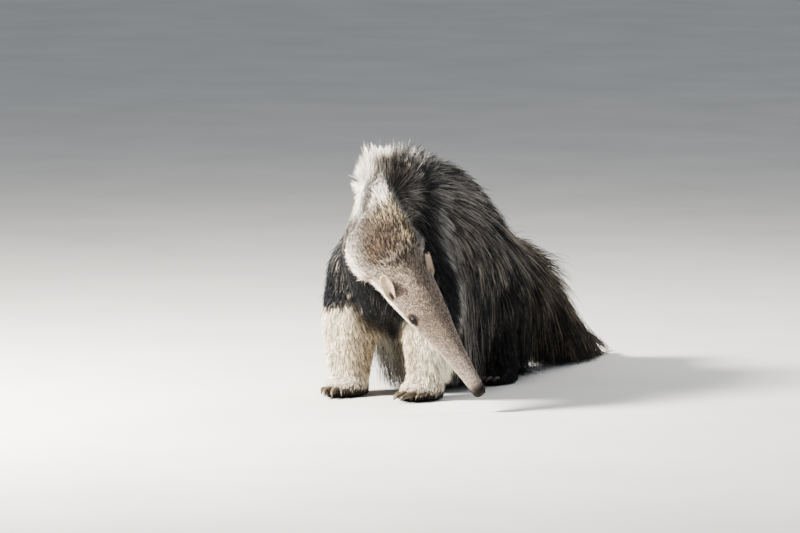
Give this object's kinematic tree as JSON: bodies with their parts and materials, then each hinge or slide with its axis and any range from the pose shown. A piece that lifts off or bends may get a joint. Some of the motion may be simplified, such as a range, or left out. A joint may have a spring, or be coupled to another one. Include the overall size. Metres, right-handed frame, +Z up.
{
  "type": "giant anteater",
  "caption": "Standing giant anteater with its long snout lowered and turned to its left, a crest of upright hair and a bushy tail that hangs to the ground.",
  "frame": {"origin": "middle of the base of the bounding box, on the floor", "axes": "-Y is the way the body faces, +Y runs back along the body to the tail, +X is the animal's left, +Z up"},
  "size_m": [0.6234, 1.516, 0.72],
  "materials": {
    "face_coat": "short dense grizzled hair",
    "ear_coat": "thin skin with very short pale hair",
    "neck_coat": "upright cream and grey hair",
    "body_coat": "long coarse dark hair with grey strands",
    "tail_coat": "very long coarse dark hair",
    "foreleg_coat": "cream hair",
    "hindleg_coat": "black-brown hair",
    "claw": "horn",
    "eye": "wet and glossy"
  },
  "bodies": {
    "root": {"ear_left": "ear_coat", "ear_right": "ear_coat", "eye_left": "eye", "eye_right": "eye", "foreclaw_left_1": "claw", "foreclaw_left_2": "claw", "foreclaw_left_3": "claw", "foreclaw_left_4": "claw", "foreclaw_right_1": "claw", "foreclaw_right_2": "claw", "foreclaw_right_3": "claw", "foreclaw_right_4": "claw", "forefoot_left": "foreleg_coat", "forefoot_right": "foreleg_coat", "foreleg_left": "foreleg_coat", "foreleg_right": "foreleg_coat", "head": "face_coat", "hindclaw_left_1": "claw", "hindclaw_left_2": "claw", "hindclaw_left_3": "claw", "hindclaw_left_4": "claw", "hindclaw_left_5": "claw", "hindclaw_right_1": "claw", "hindclaw_right_2": "claw", "hindclaw_right_3": "claw", "hindclaw_right_4": "claw", "hindclaw_right_5": "claw", "hindfoot_left": "hindleg_coat", "hindfoot_right": "hindleg_coat", "hindleg_left": "hindleg_coat", "hindleg_right": "hindleg_coat", "neck": "neck_coat", "tail": "tail_coat", "torso": "body_coat"}
  },
  "joints": []
}
